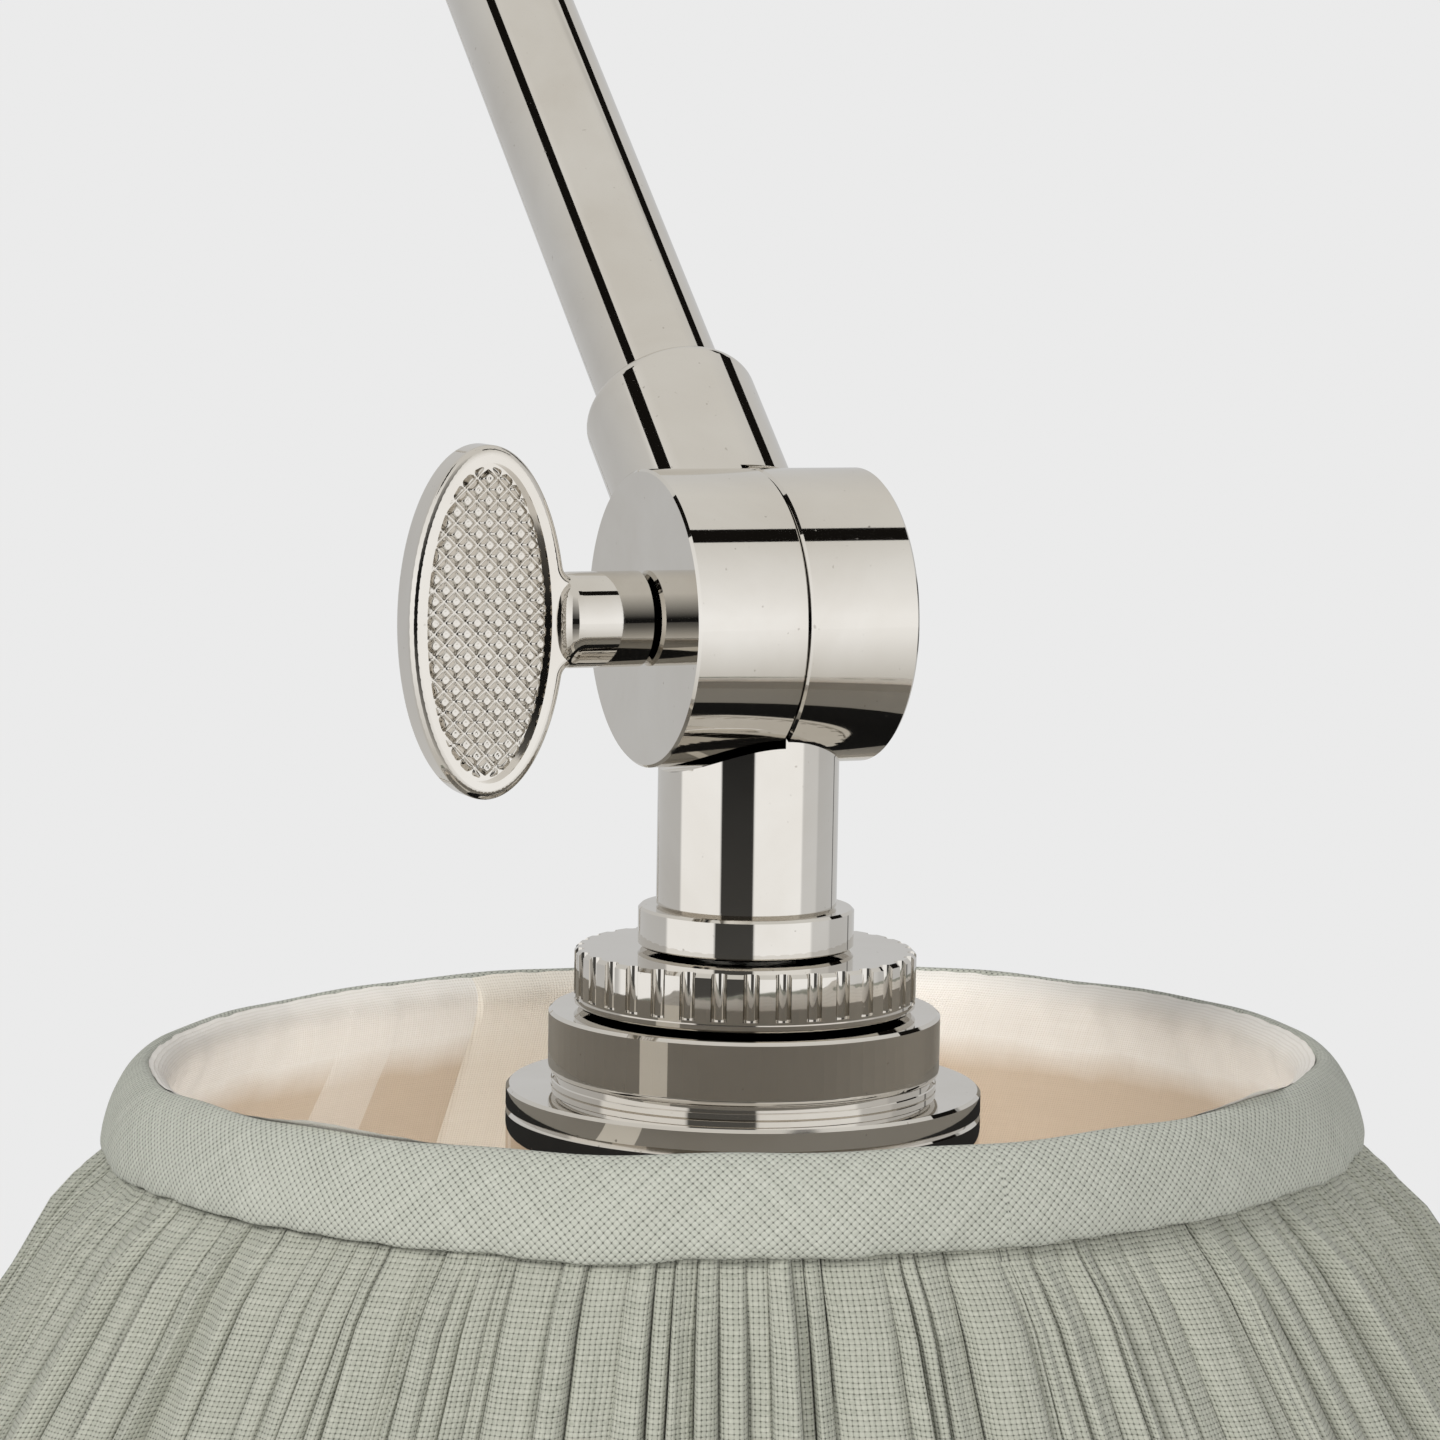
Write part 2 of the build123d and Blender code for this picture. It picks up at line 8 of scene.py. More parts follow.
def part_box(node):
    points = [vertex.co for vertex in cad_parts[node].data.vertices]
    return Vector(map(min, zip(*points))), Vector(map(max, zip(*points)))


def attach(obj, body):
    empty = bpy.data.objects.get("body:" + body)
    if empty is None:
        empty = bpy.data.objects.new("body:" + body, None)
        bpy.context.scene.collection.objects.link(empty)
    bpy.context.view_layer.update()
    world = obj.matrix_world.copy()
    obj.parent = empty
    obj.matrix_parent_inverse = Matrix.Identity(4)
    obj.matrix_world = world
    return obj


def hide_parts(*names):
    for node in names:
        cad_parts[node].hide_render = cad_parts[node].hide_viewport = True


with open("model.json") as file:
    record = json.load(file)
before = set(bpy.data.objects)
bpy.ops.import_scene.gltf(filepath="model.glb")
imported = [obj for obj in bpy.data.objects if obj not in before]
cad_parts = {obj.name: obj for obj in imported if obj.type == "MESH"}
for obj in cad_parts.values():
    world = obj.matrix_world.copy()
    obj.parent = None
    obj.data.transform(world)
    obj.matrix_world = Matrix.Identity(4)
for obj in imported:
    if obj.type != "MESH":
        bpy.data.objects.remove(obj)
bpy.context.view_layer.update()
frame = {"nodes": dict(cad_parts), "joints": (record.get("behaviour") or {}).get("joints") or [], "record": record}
nodes = frame["nodes"]
joints = {joint["name"]: joint for joint in frame["joints"]}
knuckle = Vector(joints["head_tilt"]["pos_m"])   # middle of the lamp head's hinge
mm = 0.001
print("frame loaded,", len(nodes), "nodes")


# camera, aimed at the head knuckle from the thumb key's side, a little above it
camera = {"turn": -23.0, "down": 6.25, "roll": 0.945, "distance": 435.3 * mm, "lens": 115,
          "aside": 2.95 * mm, "above": 9.82 * mm, "nearest": 0.01}


def placeCamera():
    turn, down, roll = (math.radians(camera[key]) for key in ("turn", "down", "roll"))
    back = Vector((math.cos(turn) * math.cos(down), math.sin(turn) * math.cos(down), math.sin(down)))
    level = Vector((0, 0, 1)).cross(back).normalized()
    rise = back.cross(level)
    right = level * math.cos(roll) + rise * math.sin(roll)
    up = rise * math.cos(roll) - level * math.sin(roll)
    data = bpy.data.cameras.new("camera")
    data.lens = camera["lens"]
    data.clip_start = camera["nearest"]
    eye = bpy.data.objects.new("camera", data)
    eye.location = knuckle + back * camera["distance"] - right * camera["aside"] - up * camera["above"]
    eye.rotation_euler = Matrix((right, up, back)).transposed().to_euler()
    bpy.context.scene.collection.objects.link(eye)
    bpy.context.scene.camera = eye


placeCamera()
bpy.context.scene.view_settings.view_transform = "Standard"
print("camera placed")


# node helpers, shared by the materials and the studio
class Tree:
    def __init__(self, tree):
        self.tree = tree
        tree.nodes.clear()

    def add(self, kind, **settings):
        node = self.tree.nodes.new("ShaderNode" + kind)
        for key, value in settings.items():
            setattr(node, key, value)
        return node

    def feed(self, node, **inputs):
        for key, value in inputs.items():
            socket = node.inputs[int(key[1:])] if key[0] == "_" else node.inputs[key.replace("_", " ")]
            if isinstance(value, bpy.types.NodeSocket):
                self.tree.links.new(value, socket)
            else:
                socket.default_value = value
        return node

    def math(self, operation, first, second=0.0, third=0.0):
        node = self.add("Math", operation=operation)
        return self.feed(node, _0=first, _1=second, _2=third).outputs[0]

    def vector(self, operation, first, second=(0.0, 0.0, 0.0)):
        node = self.add("VectorMath", operation=operation)
        self.feed(node, _0=first, _1=second)
        return node.outputs["Value" if operation == "DOT_PRODUCT" else "Vector"]

    def noise(self, vector, scale, detail=3.0, rough=0.55, twist=0.0):
        node = self.add("TexNoise")
        self.feed(node, Vector=vector, Scale=scale, Detail=detail, Roughness=rough, Distortion=twist)
        return node.outputs[0]

    def spread(self, value, low, high, start=0.0, end=1.0):
        node = self.add("MapRange")
        self.feed(node, Value=value, From_Min=low, From_Max=high, To_Min=start, To_Max=end)
        return node.outputs[0]

    def mix(self, share, first, second, blend="MIX"):
        node = self.add("Mix", data_type="RGBA", blend_type=blend)
        self.feed(node, _0=share, _6=first, _7=second)
        return node.outputs[2]

    def ramp(self, value, stops, ease="LINEAR"):
        node = self.add("ValToRGB")
        node.color_ramp.interpolation = ease
        elements = node.color_ramp.elements
        while len(elements) < len(stops):
            elements.new(0.5)
        for element, (place, level) in zip(elements, stops):
            element.position = place
            element.color = (*level, 1) if hasattr(level, "__len__") else (level, level, level, 1)
        return self.feed(node, Fac=value).outputs[0]


def rgb(red, green, blue):
    # a paint maker's 0 to 255 colour as a linear one
    def linear(value):
        part = value / 255
        return part / 12.92 if part <= 0.04045 else ((part + 0.055) / 1.055) ** 2.4
    return (linear(red), linear(green), linear(blue), 1)


# studio: the far room that the polished metal mirrors; fades are heights in degrees,
# and each black flag has its middle and half its width
studio = {"backdrop": 0.83, "softFill": 0.34,
          "hallTop": (0.78, 0.765, 0.73), "hallFade": (4, 58),
          "floorLow": (0.66, 0.64, 0.60), "floorFade": (-42, -6),
          "flagColour": (.008, .007, .006, 1),
          "topFlag": (70.3, 5.9), "topFlagSide": (0.42, 0.34),
          "armFlag": (-35.0, 8.0), "armLine": (107.0, 9.0), "armSpan": (0.62, 0.2),
          "armZero": (0.577, -0.489, 0.652)}   # the side of the arm that its flags are turned from
# level bands round the room, in degrees from the camera towards its right, with their brightness
roomBands = [(-180, .60), (-95, .60), (-92, 1.15), (-34.5, 1.15), (-32.5, .012), (7, .012),
             (9, 1.15), (72, 1.15), (75, .75), (98, .75), (101, .60), (138, .60),
             (139, .1), (141, .1), (142, .60), (180, .60)]


def buildRoom():
    world = bpy.data.worlds.new("studio")
    bpy.context.scene.world = world
    world.use_nodes = True
    t = Tree(world.node_tree)
    ray = t.vector("NORMALIZE", t.add("TexCoord").outputs["Generated"])
    split = t.feed(t.add("SeparateXYZ"), Vector=ray)
    x, y, z = split.outputs
    turn = t.math("DEGREES", t.math("ARCTAN2", y, x))
    turn = t.math("SUBTRACT", turn, camera["turn"])
    turn = t.math("WRAP", turn, 180.0, -180.0)
    bands = t.ramp(t.spread(turn, -180, 180), [((place + 180) / 360, level) for place, level in roomBands])
    rise = t.math("DEGREES", t.math("ARCSINE", z))
    hall = t.mix(t.spread(rise, *studio["hallFade"]), bands, (*studio["hallTop"], 1))
    low = t.mix(t.spread(rise, *studio["floorFade"]), (*studio["floorLow"], 1), hall)
    # black strip over the knuckle
    lift = t.math("DEGREES", t.math("ARCTAN2", z, x))
    flag = t.math("COMPARE", lift, *studio["topFlag"])
    flag = t.math("MULTIPLY", flag, t.math("COMPARE", y, *studio["topFlagSide"]))
    # two black strips along the arm
    reach = Vector(joints["arm_tilt"]["pos_m"]) - knuckle
    reach.y = 0
    along = reach.normalized()
    first = Vector(studio["armZero"])
    first = (first - along * first.dot(along)).normalized()
    second = along.cross(first)
    if second.y < 0:
        second = -second
    side = t.math("DEGREES", t.math("ARCTAN2", t.vector("DOT_PRODUCT", ray, second),
                                    t.vector("DOT_PRODUCT", ray, first)))
    armFlag = t.math("MAXIMUM", t.math("COMPARE", side, *studio["armFlag"]),
                     t.math("COMPARE", side, *studio["armLine"]))
    span = t.math("COMPARE", t.vector("DOT_PRODUCT", ray, along), *studio["armSpan"])
    armFlag = t.math("MULTIPLY", armFlag, span)
    lit = t.mix(t.math("MAXIMUM", flag, armFlag), low, studio["flagColour"])
    path = t.add("LightPath")
    soft = t.mix(path.outputs["Is Glossy Ray"], [studio["softFill"]] * 3 + [1], lit)
    seen = t.mix(path.outputs["Is Camera Ray"], soft, [studio["backdrop"]] * 3 + [1])
    glow = t.feed(t.add("Background"), Color=seen, Strength=1.0)
    t.feed(t.add("OutputWorld"), Surface=glow.outputs[0])


# softboxes: places in metres from the head knuckle, power in watts; the metal doesn't mirror them
softboxes = {
    "key": {"place": (0.35, -1.6, 1.1), "size": (0.8, 0.8), "power": 22, "tint": (1, .99, .97)},
    "front": {"place": (1.65, -0.2, 0.3), "size": (0.8, 0.5), "power": 13, "tint": (1, .985, .965)},
    "fill": {"place": (0.9, 1.5, 0.6), "size": (1.0, 1.0), "power": 3.5, "tint": (.98, .99, 1)},
    "under": {"place": (0.1, 0.0, -0.55), "size": (0.5, 0.5), "power": 1.1, "tint": (1, .985, .965)},
}


def softbox(name, place, size, power, tint):
    data = bpy.data.lights.new(name, "AREA")
    data.shape = "RECTANGLE"
    data.size = size[0]
    data.size_y = size[1]
    data.energy = power
    data.color = tint
    lamp = bpy.data.objects.new(name, data)
    lamp.location = knuckle + Vector(place)
    lamp.rotation_euler = Vector(place).to_track_quat("Z", "Y").to_euler()
    lamp.visible_glossy = False
    lamp.visible_camera = False
    bpy.context.scene.collection.objects.link(lamp)


def stagePlate(name, corners, faces, material):
    mesh = bpy.data.meshes.new(name)
    mesh.from_pydata(corners, [], faces)
    plate = bpy.data.objects.new(name, mesh)
    mesh.materials.append(material)
    bpy.context.scene.collection.objects.link(plate)
    return plate


def plainMaterial(name, colour, roughness, glow):
    material = bpy.data.materials.new(name)
    material.use_nodes = True
    t = Tree(material.node_tree)
    surface = t.feed(t.add("BsdfPrincipled"), Base_Color=colour, Roughness=roughness, Emission_Color=colour,
                     Emission_Strength=glow)
    t.feed(t.add("OutputMaterial"), Surface=surface.outputs[0])
    return material


floorPlate = {"reach": 2.2, "sides": 96, "colour": rgb(240, 239, 237), "roughness": 0.8, "glow": 0.22}


def buildFloor():
    reach, sides = floorPlate["reach"], floorPlate["sides"]
    edge = [(reach * math.cos(2 * math.pi * side / sides), reach * math.sin(2 * math.pi * side / sides), 0)
            for side in range(sides)]
    paint = plainMaterial("pale_floor", floorPlate["colour"], floorPlate["roughness"], floorPlate["glow"])
    floor = stagePlate("floor", edge, [tuple(range(sides))], paint)
    floor.visible_glossy = False


# painted reflection: a dark ring of card in the lamp's mouth, seen only by the polished metal, stands in for the
# shade's dim inside, and its grey and pale tones glow to stand in for the shaded lining mirrored in the cup: rings
# of radius and drop below the knuckle, and for each tone its colour, roughness and glow
paintedReflection = {"rings": ((24 * mm, 50 * mm), (35.5 * mm, 50 * mm), (51.2 * mm, 50 * mm), (50.8 * mm, 41 * mm)),
          "steps": 48, "paleSteps": (38, 39),
          "black": ((.004, .004, .004, 1), 1.0, 0.0),
          "grey": ((.19, .18, .16, 1), 1.0, .5),
          "pale": ((.42, .40, .36, 1), 1.0, .8)}


def buildPaintedReflection():
    steps = paintedReflection["steps"]
    spots = []
    for radius, drop in paintedReflection["rings"]:
        for step in range(steps):
            turn = 2 * math.pi * step / steps
            spots.append((knuckle.x + radius * math.cos(turn), knuckle.y + radius * math.sin(turn),
                          knuckle.z - drop))
    bands = len(paintedReflection["rings"]) - 1
    faces = [(low + step, low + (step + 1) % steps, low + steps + (step + 1) % steps, low + steps + step)
             for low in range(0, bands * steps, steps) for step in range(steps)]
    card = stagePlate("black_painted_reflection_card", spots, faces, plainMaterial("black_painted_reflection_card", *paintedReflection["black"]))
    for tone in ("grey", "pale"):
        card.data.materials.append(plainMaterial(tone + "_painted_reflection_card", *paintedReflection[tone]))
    # painted reflection: the inmost ring is black, the rest a glowing grey but for one glowing pale strip, a
    # painted light band in the cup
    for face in card.data.polygons:
        ring, step = divmod(face.index, steps)
        face.material_index = 2 if ring and step in paintedReflection["paleSteps"] else min(ring, 1)
    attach(card, "lamp_head")
    card.visible_camera = False
    card.visible_diffuse = False
    card.visible_shadow = False
    card.visible_transmission = False


buildRoom()
buildFloor()
buildPaintedReflection()
for name, box in softboxes.items():
    softbox(name, **box)
print("studio built")


# finishes
def newMaterial(name):
    material = bpy.data.materials.new(name)
    material.use_nodes = True
    material.use_backface_culling = False
    t = Tree(material.node_tree)
    t.surface = t.add("BsdfPrincipled")
    t.feed(t.add("OutputMaterial"), Surface=t.surface.outputs[0])
    t.place = t.add("TexCoord").outputs["Object"]
    t.material = material
    return t


def stretched(t, scale):
    return t.vector("MULTIPLY", t.place, scale)


def bump(t, height, depth, strength=1.0, below=None):
    node = t.feed(t.add("Bump"), Height=height, Distance=depth, Strength=strength)
    if below is not None:
        t.feed(node, Normal=below)
    return node.outputs[0]


nickel = {"bright": (0.735, 0.712, 0.672, 1), "dull": (0.665, 0.632, 0.582, 1), "speck": (.30, .27, .23, 1),
          "smoothest": 0.015, "roughest": 0.06}


def polishedNickel():
    t = newMaterial("polished_nickel")
    clouds = t.noise(t.place, 55, 4, 0.6, 0.4)
    wear = t.noise(t.place, 14, 5, 0.65)
    hair = t.noise(stretched(t, (900, 900, 90)), 1.6, 2)
    specks = t.spread(t.noise(t.place, 1500, 1), 0.75, 0.80)
    colour = t.mix(t.spread(clouds, .35, .75), nickel["bright"], nickel["dull"])
    colour = t.mix(t.math("MULTIPLY", specks, 0.35), colour, nickel["speck"])
    rough = t.spread(wear, 0.3, 0.75, nickel["smoothest"], nickel["roughest"])
    rough = t.math("ADD", rough, t.math("MULTIPLY", specks, 0.2))
    ripple = bump(t, t.noise(t.place, 120, 2), 0.00002, 0.25)
    scratch = bump(t, hair, 0.000001, 0.15, ripple)
    t.feed(t.surface, Base_Color=colour, Metallic=1.0, Roughness=rough, Normal=scratch)
    return t.material


threadRate = 6283   # one screw thread to the millimetre, as radians to the metre


def zincSteel():
    t = newMaterial("zinc_steel")
    spangle = t.noise(t.place, 420, 4, 0.7)
    colour = t.mix(spangle, (.42, .43, .44, 1), (.66, .66, .64, 1))
    z = t.feed(t.add("SeparateXYZ"), Vector=t.place).outputs[2]
    thread = t.math("SINE", t.math("MULTIPLY", z, threadRate))
    relief = t.math("ADD", spangle, t.math("MULTIPLY", thread, .4))
    t.feed(t.surface, Base_Color=colour, Metallic=1.0, Roughness=t.spread(spangle, .2, .8, .28, .5),
           Normal=bump(t, relief, 0.00006, .6))
    return t.material


def castIron():
    t = newMaterial("cast_iron")
    sand = t.noise(t.place, 900, 6, 0.75)
    colour = t.mix(sand, (.018, .018, .019, 1), (.07, .066, .062, 1))
    t.feed(t.surface, Base_Color=colour, Roughness=t.spread(sand, 0, 1, .55, .85),
           Normal=bump(t, sand, .0003))
    return t.material


def feltPad():
    t = newMaterial("felt")
    fibre = t.noise(stretched(t, (1, 1, .3)), 1600, 5, 0.8, 2.0)
    colour = t.mix(fibre, (.006, .006, .007, 1), (.035, .035, .038, 1))
    t.feed(t.surface, Base_Color=colour, Roughness=.97, Sheen_Weight=.35, Normal=bump(t, fibre, .0004))
    return t.material


def mouldedPlastic(name, dark, light, roughness, grain):
    t = newMaterial(name)
    texture = t.noise(t.place, grain, 4, 0.6)
    cloud = t.noise(t.place, grain / 12, 3)
    t.feed(t.surface, Base_Color=t.mix(cloud, dark, light),
           Roughness=t.spread(texture, .2, .8, *roughness), Normal=bump(t, texture, .00004, .7))
    return t.material


def turnedBrass():
    t = newMaterial("raw_brass")
    lathe = t.noise(stretched(t, (40, 40, 6000)), 1, 2)
    tarnish = t.noise(t.place, 90, 5, .7)
    colour = t.mix(t.spread(tarnish, .35, .8), (.72, .50, .20, 1), (.34, .21, .09, 1))
    t.feed(t.surface, Base_Color=colour, Metallic=1.0, Roughness=t.spread(tarnish, .2, .8, .2, .45),
           Normal=bump(t, lathe, .00003, .5))
    return t.material


def frostedGlass():
    t = newMaterial("frosted_glass")
    cloud = t.noise(t.place, 60, 4)
    frost = t.noise(t.place, 3000, 3)
    colour = t.mix(cloud, (.86, .86, .84, 1), (.93, .93, .91, 1))
    t.feed(t.surface, Base_Color=colour, Roughness=t.spread(frost, .2, .8, .22, .36), Coat_Weight=.25,
           Coat_Roughness=.08, Subsurface_Weight=.15, Subsurface_Scale=.004,
           Normal=bump(t, frost, .00001, .5))
    return t.material


def bulbCap():
    t = newMaterial("bulb_cap_metal")
    z = t.feed(t.add("SeparateXYZ"), Vector=t.place).outputs[2]
    thread = t.math("SINE", t.math("MULTIPLY", z, threadRate / 3.6))   # 3.6 mm between turns
    scuff = t.noise(t.place, 500, 4, .7)
    t.feed(t.surface, Base_Color=t.mix(scuff, (.62, .62, .63, 1), (.80, .80, .80, 1)), Metallic=1.0,
           Roughness=t.spread(scuff, .2, .8, .22, .42), Normal=bump(t, thread, .0008, .9))
    return t.material


def whiteWire():
    t = newMaterial("white_wire")
    drip = t.noise(t.place, 350, 4, .6)
    chips = t.spread(t.noise(t.place, 260, 2), .70, .74)
    colour = t.mix(chips, t.mix(drip, (.72, .70, .66, 1), (.82, .81, .78, 1)), (.25, .23, .21, 1))
    t.feed(t.surface, Base_Color=colour, Roughness=t.spread(drip, .2, .8, .3, .5), Coat_Weight=.2,
           Normal=bump(t, drip, .00012, .6))
    return t.material


# shade: its own frame, worked out from the two wire rings
def ringFrame(node):
    spots = np.array([spot.co for spot in nodes[node].data.vertices])
    middle = (spots.min(0) + spots.max(0)) / 2
    level = np.linalg.svd(spots - spots.mean(0), full_matrices=False)[2][2]
    level = level if level[2] > 0 else -level
    flat = (spots - middle) - np.outer((spots - middle) @ level, level)
    reach = np.linalg.norm(flat, axis=1)
    return middle, level, (reach.max() + reach.min()) / 2


topMiddle, shadeAxis, topRingRadius = ringFrame("shade_top_ring")
lowMiddle, _, lowRingRadius = ringFrame("shade_bottom_ring")
shade = {"topRingDepth": 3.5 * mm, "lowRingRise": 4 * mm, "ringInset": 2.9 * mm}
shadeX = np.cross([0, 1, 0], shadeAxis)
shadeX /= np.linalg.norm(shadeX)
shadeY = np.cross(shadeAxis, shadeX)
ringGap = np.linalg.norm(topMiddle - lowMiddle)
shadeSlope = (lowRingRadius - topRingRadius) / ringGap
shadeDepth = ringGap + shade["topRingDepth"] + shade["lowRingRise"]
topRadius = topRingRadius + shade["ringInset"] - shadeSlope * shade["topRingDepth"]
slantRate = math.hypot(1, shadeSlope)
shade.update(slope=float(shadeSlope), slantRate=float(slantRate), topRadius=float(topRadius))


# cloth: plain weave drawn from the cloth's own lengths, in metres, so threads keep their size in folds
def weave(t, spacing, slant=0.0, slubs=1.0, unevenness=0.3):
    cloth = t.add("UVMap", uv_map="cloth").outputs[0]
    if slant:
        cloth = t.feed(t.add("VectorRotate", rotation_type="Z_AXIS"), Vector=cloth, Angle=slant).outputs[0]
    wobble = t.noise(cloth, 260, 2)
    wander = t.spread(wobble, 0, 1, -unevenness, unevenness)
    split = t.feed(t.add("SeparateXYZ"), Vector=t.vector("MULTIPLY", cloth, (1 / spacing, 1 / spacing, 1)))
    warpAt = t.math("ADD", split.outputs[0], wander)
    weftAt = t.math("ADD", split.outputs[1], t.math("MULTIPLY", wander, -1.2))
    warpWave = t.math("SINE", t.math("MULTIPLY", warpAt, math.pi))
    weftWave = t.math("SINE", t.math("MULTIPLY", weftAt, math.pi))
    slubWarp = t.noise(t.vector("MULTIPLY", cloth, (1 / spacing, 60, 1)), 1.0, 2)
    slubWeft = t.noise(t.vector("MULTIPLY", cloth, (60, 1 / spacing, 1)), 1.0, 2)
    thin, thick = .65 + .3 * slubs, .65 - .3 * slubs
    warp = t.math("POWER", t.math("ABSOLUTE", warpWave), t.spread(slubWarp, .3, .7, thin, thick))
    weft = t.math("POWER", t.math("ABSOLUTE", weftWave), t.spread(slubWeft, .3, .7, thin, thick))
    over = t.math("MULTIPLY_ADD", t.math("MULTIPLY", warpWave, weftWave), .5, .5)
    height = t.feed(t.add("Mix", data_type="FLOAT"), _0=over, _2=weft, _3=warp).outputs[0]
    slub = t.feed(t.add("Mix", data_type="FLOAT"), _0=over, _2=slubWeft, _3=slubWarp).outputs[0]
    return height, slub


def linenCloth(name, light, dark, gapShade, spacing, slant, depth, slubs, layers=None):
    t = newMaterial(name)
    height, slub = weave(t, spacing, slant, slubs)
    fuzz = t.noise(t.place, 5200, 3, .7)
    blotch = t.noise(t.place, 45, 4, .6)
    yarn = t.mix(t.spread(slub, .5 - .22 / slubs, .5 + .22 / slubs), dark, light)
    yarn = t.mix(t.spread(blotch, .3, .7, 0, .22), yarn, t.mix(.5, dark, light))
    yarn = t.mix(t.spread(fuzz, .3, .8, 0, .3), yarn, light)
    # painted shade: where the weave lies low the colour falls to the dark gap colour, standing in for shade
    # between the yarns
    colour = t.mix(t.spread(height, .16, .66), gapShade, yarn)
    if layers:
        colour = layers(t, colour)
    relief = t.math("ADD", height, t.math("MULTIPLY", fuzz, .35))
    t.feed(t.surface, Base_Color=colour, Roughness=.93, Specular_IOR_Level=.25, Sheen_Weight=.12,
           Sheen_Roughness=.5, Normal=bump(t, relief, depth, .9))
    return t.material


# lining: the turned-in hem, a seam allowance and an overlap lie double and are kept paler, while the single layer
# below the hem is darkened as painted shade for the dim inside of the shade;
# the seam and the overlap run between two turns, in radians, and each climb of the hem has its turn and width
lining = {"columns": 1440, "rows": 96, "inset": 4.75 * mm, "start": .25 * mm, "lowClear": 2.4 * mm,
          "crowding": 2.2, "ribs": 8, "scallop": .9 * mm, "wrinkle": .14 * mm, "settle": 3 * mm,
          "flare": 5.0 * mm, "flareReach": 1.5 * mm, "hem": (8.5 * mm, 13.5 * mm), "hemWaver": 3 * mm,
          "seam": (.297, .428), "seamProud": .14 * mm, "seamPaler": .4,
          "lap": (-.14, .122), "lapProud": .5 * mm, "lapPaler": .8,
          "singleLayerShade": rgb(221, 206, 189), "lapTint": rgb(255, 252, 246),
          "climbs": ((math.radians(299), .17), (math.radians(33), .13)),
          "climbOut": 1.7 * mm, "climbUp": 1.3 * mm, "rimFade": .7 * mm, "rimWaver": .07 * mm}


def liningLayers(t, colour):
    split = t.feed(t.add("SeparateXYZ"), Vector=t.add("UVMap", uv_map="cloth").outputs[0])
    across, down = split.outputs[0], split.outputs[1]
    waver = t.spread(t.noise(t.place, 60, 3), 0, 1, -lining["hemWaver"], lining["hemWaver"])
    # painted shade: below the turned-in hem the lining is coloured darker and warmer, standing in for the dim
    # inside of the shade; the seam and overlap are spared
    singleLayerShade = t.spread(t.math("ADD", down, waver), *lining["hem"])
    reach = t.math("MULTIPLY_ADD", down, shade["slope"] / shade["slantRate"],
                   shade["topRadius"] - lining["inset"])
    turn = t.math("DIVIDE", across, reach)
    low, high = lining["seam"]
    seam = t.math("COMPARE", turn, (low + high) / 2, (high - low) / 2)
    low, high = lining["lap"]
    lap = t.math("COMPARE", turn, (low + high) / 2, (high - low) / 2)
    singleLayerShade = t.math("MULTIPLY", singleLayerShade, t.math("MULTIPLY_ADD", seam, -lining["seamPaler"], 1.0))
    singleLayerShade = t.math("MULTIPLY", singleLayerShade, t.math("MULTIPLY_ADD", lap, -lining["lapPaler"], 1.0))
    colour = t.mix(singleLayerShade, colour, t.mix(1.0, colour, lining["singleLayerShade"], "MULTIPLY"))
    return t.mix(lap, colour, t.mix(1.0, colour, lining["lapTint"], "MULTIPLY"))


# moulded plastics: darkest and lightest colour, roughness, and grain to the metre
plastics = {"black_plastic": ((.012, .012, .012, 1), (.024, .024, .025, 1), (.4, .6), 900),
            "white_nylon": ((.68, .66, .60, 1), (.80, .79, .75, 1), (.35, .5), 500),
            "phenolic": ((.010, .008, .007, 1), (.03, .024, .02, 1), (.18, .32), 600)}
finishes = {
    "polished_nickel": polishedNickel(),
    "zinc_steel": zincSteel(),
    "cast_iron": castIron(),
    "felt": feltPad(),
    "black_plastic": mouldedPlastic("black_plastic", *plastics["black_plastic"]),
    "white_nylon": mouldedPlastic("white_nylon", *plastics["white_nylon"]),
    "phenolic": mouldedPlastic("phenolic", *plastics["phenolic"]),
    "raw_brass": turnedBrass(),
    "frosted_glass": frostedGlass(),
    "bulb_cap_metal": bulbCap(),
    "white_wire": whiteWire(),
}
# cloths: yarn colours, the painted shade in the gaps between yarns, yarn spacing, slant, relief and how slubby the
# yarn is
cloths = {
    "linen": {"name": "pleated_linen", "light": rgb(195, 196, 184), "dark": rgb(155, 158, 145),
              "gapShade": rgb(58, 60, 50), "spacing": .47 * mm, "slant": 0, "depth": .00014, "slubs": .8},
    "binding": {"name": "bias_linen", "light": rgb(203, 205, 195), "dark": rgb(168, 171, 160),
                "gapShade": rgb(62, 64, 56), "spacing": .50 * mm, "slant": math.radians(43), "depth": .00014,
                "slubs": .6},
    "lining": {"name": "cotton_lining", "light": rgb(249, 246, 241), "dark": rgb(240, 235, 227),
               "gapShade": rgb(214, 206, 195), "spacing": .30 * mm, "slant": 0, "depth": .00006, "slubs": .5,
               "layers": liningLayers},
}
clothFinish = {key: linenCloth(**cloth) for key, cloth in cloths.items()}

for part in frame["record"]["subparts"]:
    if part["material_slot"] in finishes:
        for place in nodes[part["node"]].material_slots:
            place.material = finishes[part["material_slot"]]
print("finishes made")


def shadePoint(turn, radius, depth):
    # turn in radians, radius and depth in metres; arrays or numbers
    turn, radius, depth = np.broadcast_arrays(turn, radius, depth)
    out = topMiddle + np.multiply.outer(radius * np.cos(turn), shadeX)
    out = out + np.multiply.outer(radius * np.sin(turn), shadeY)
    return out - np.multiply.outer(depth - shade["topRingDepth"], shadeAxis)


def wallRadius(depth):
    return topRadius + shadeSlope * depth


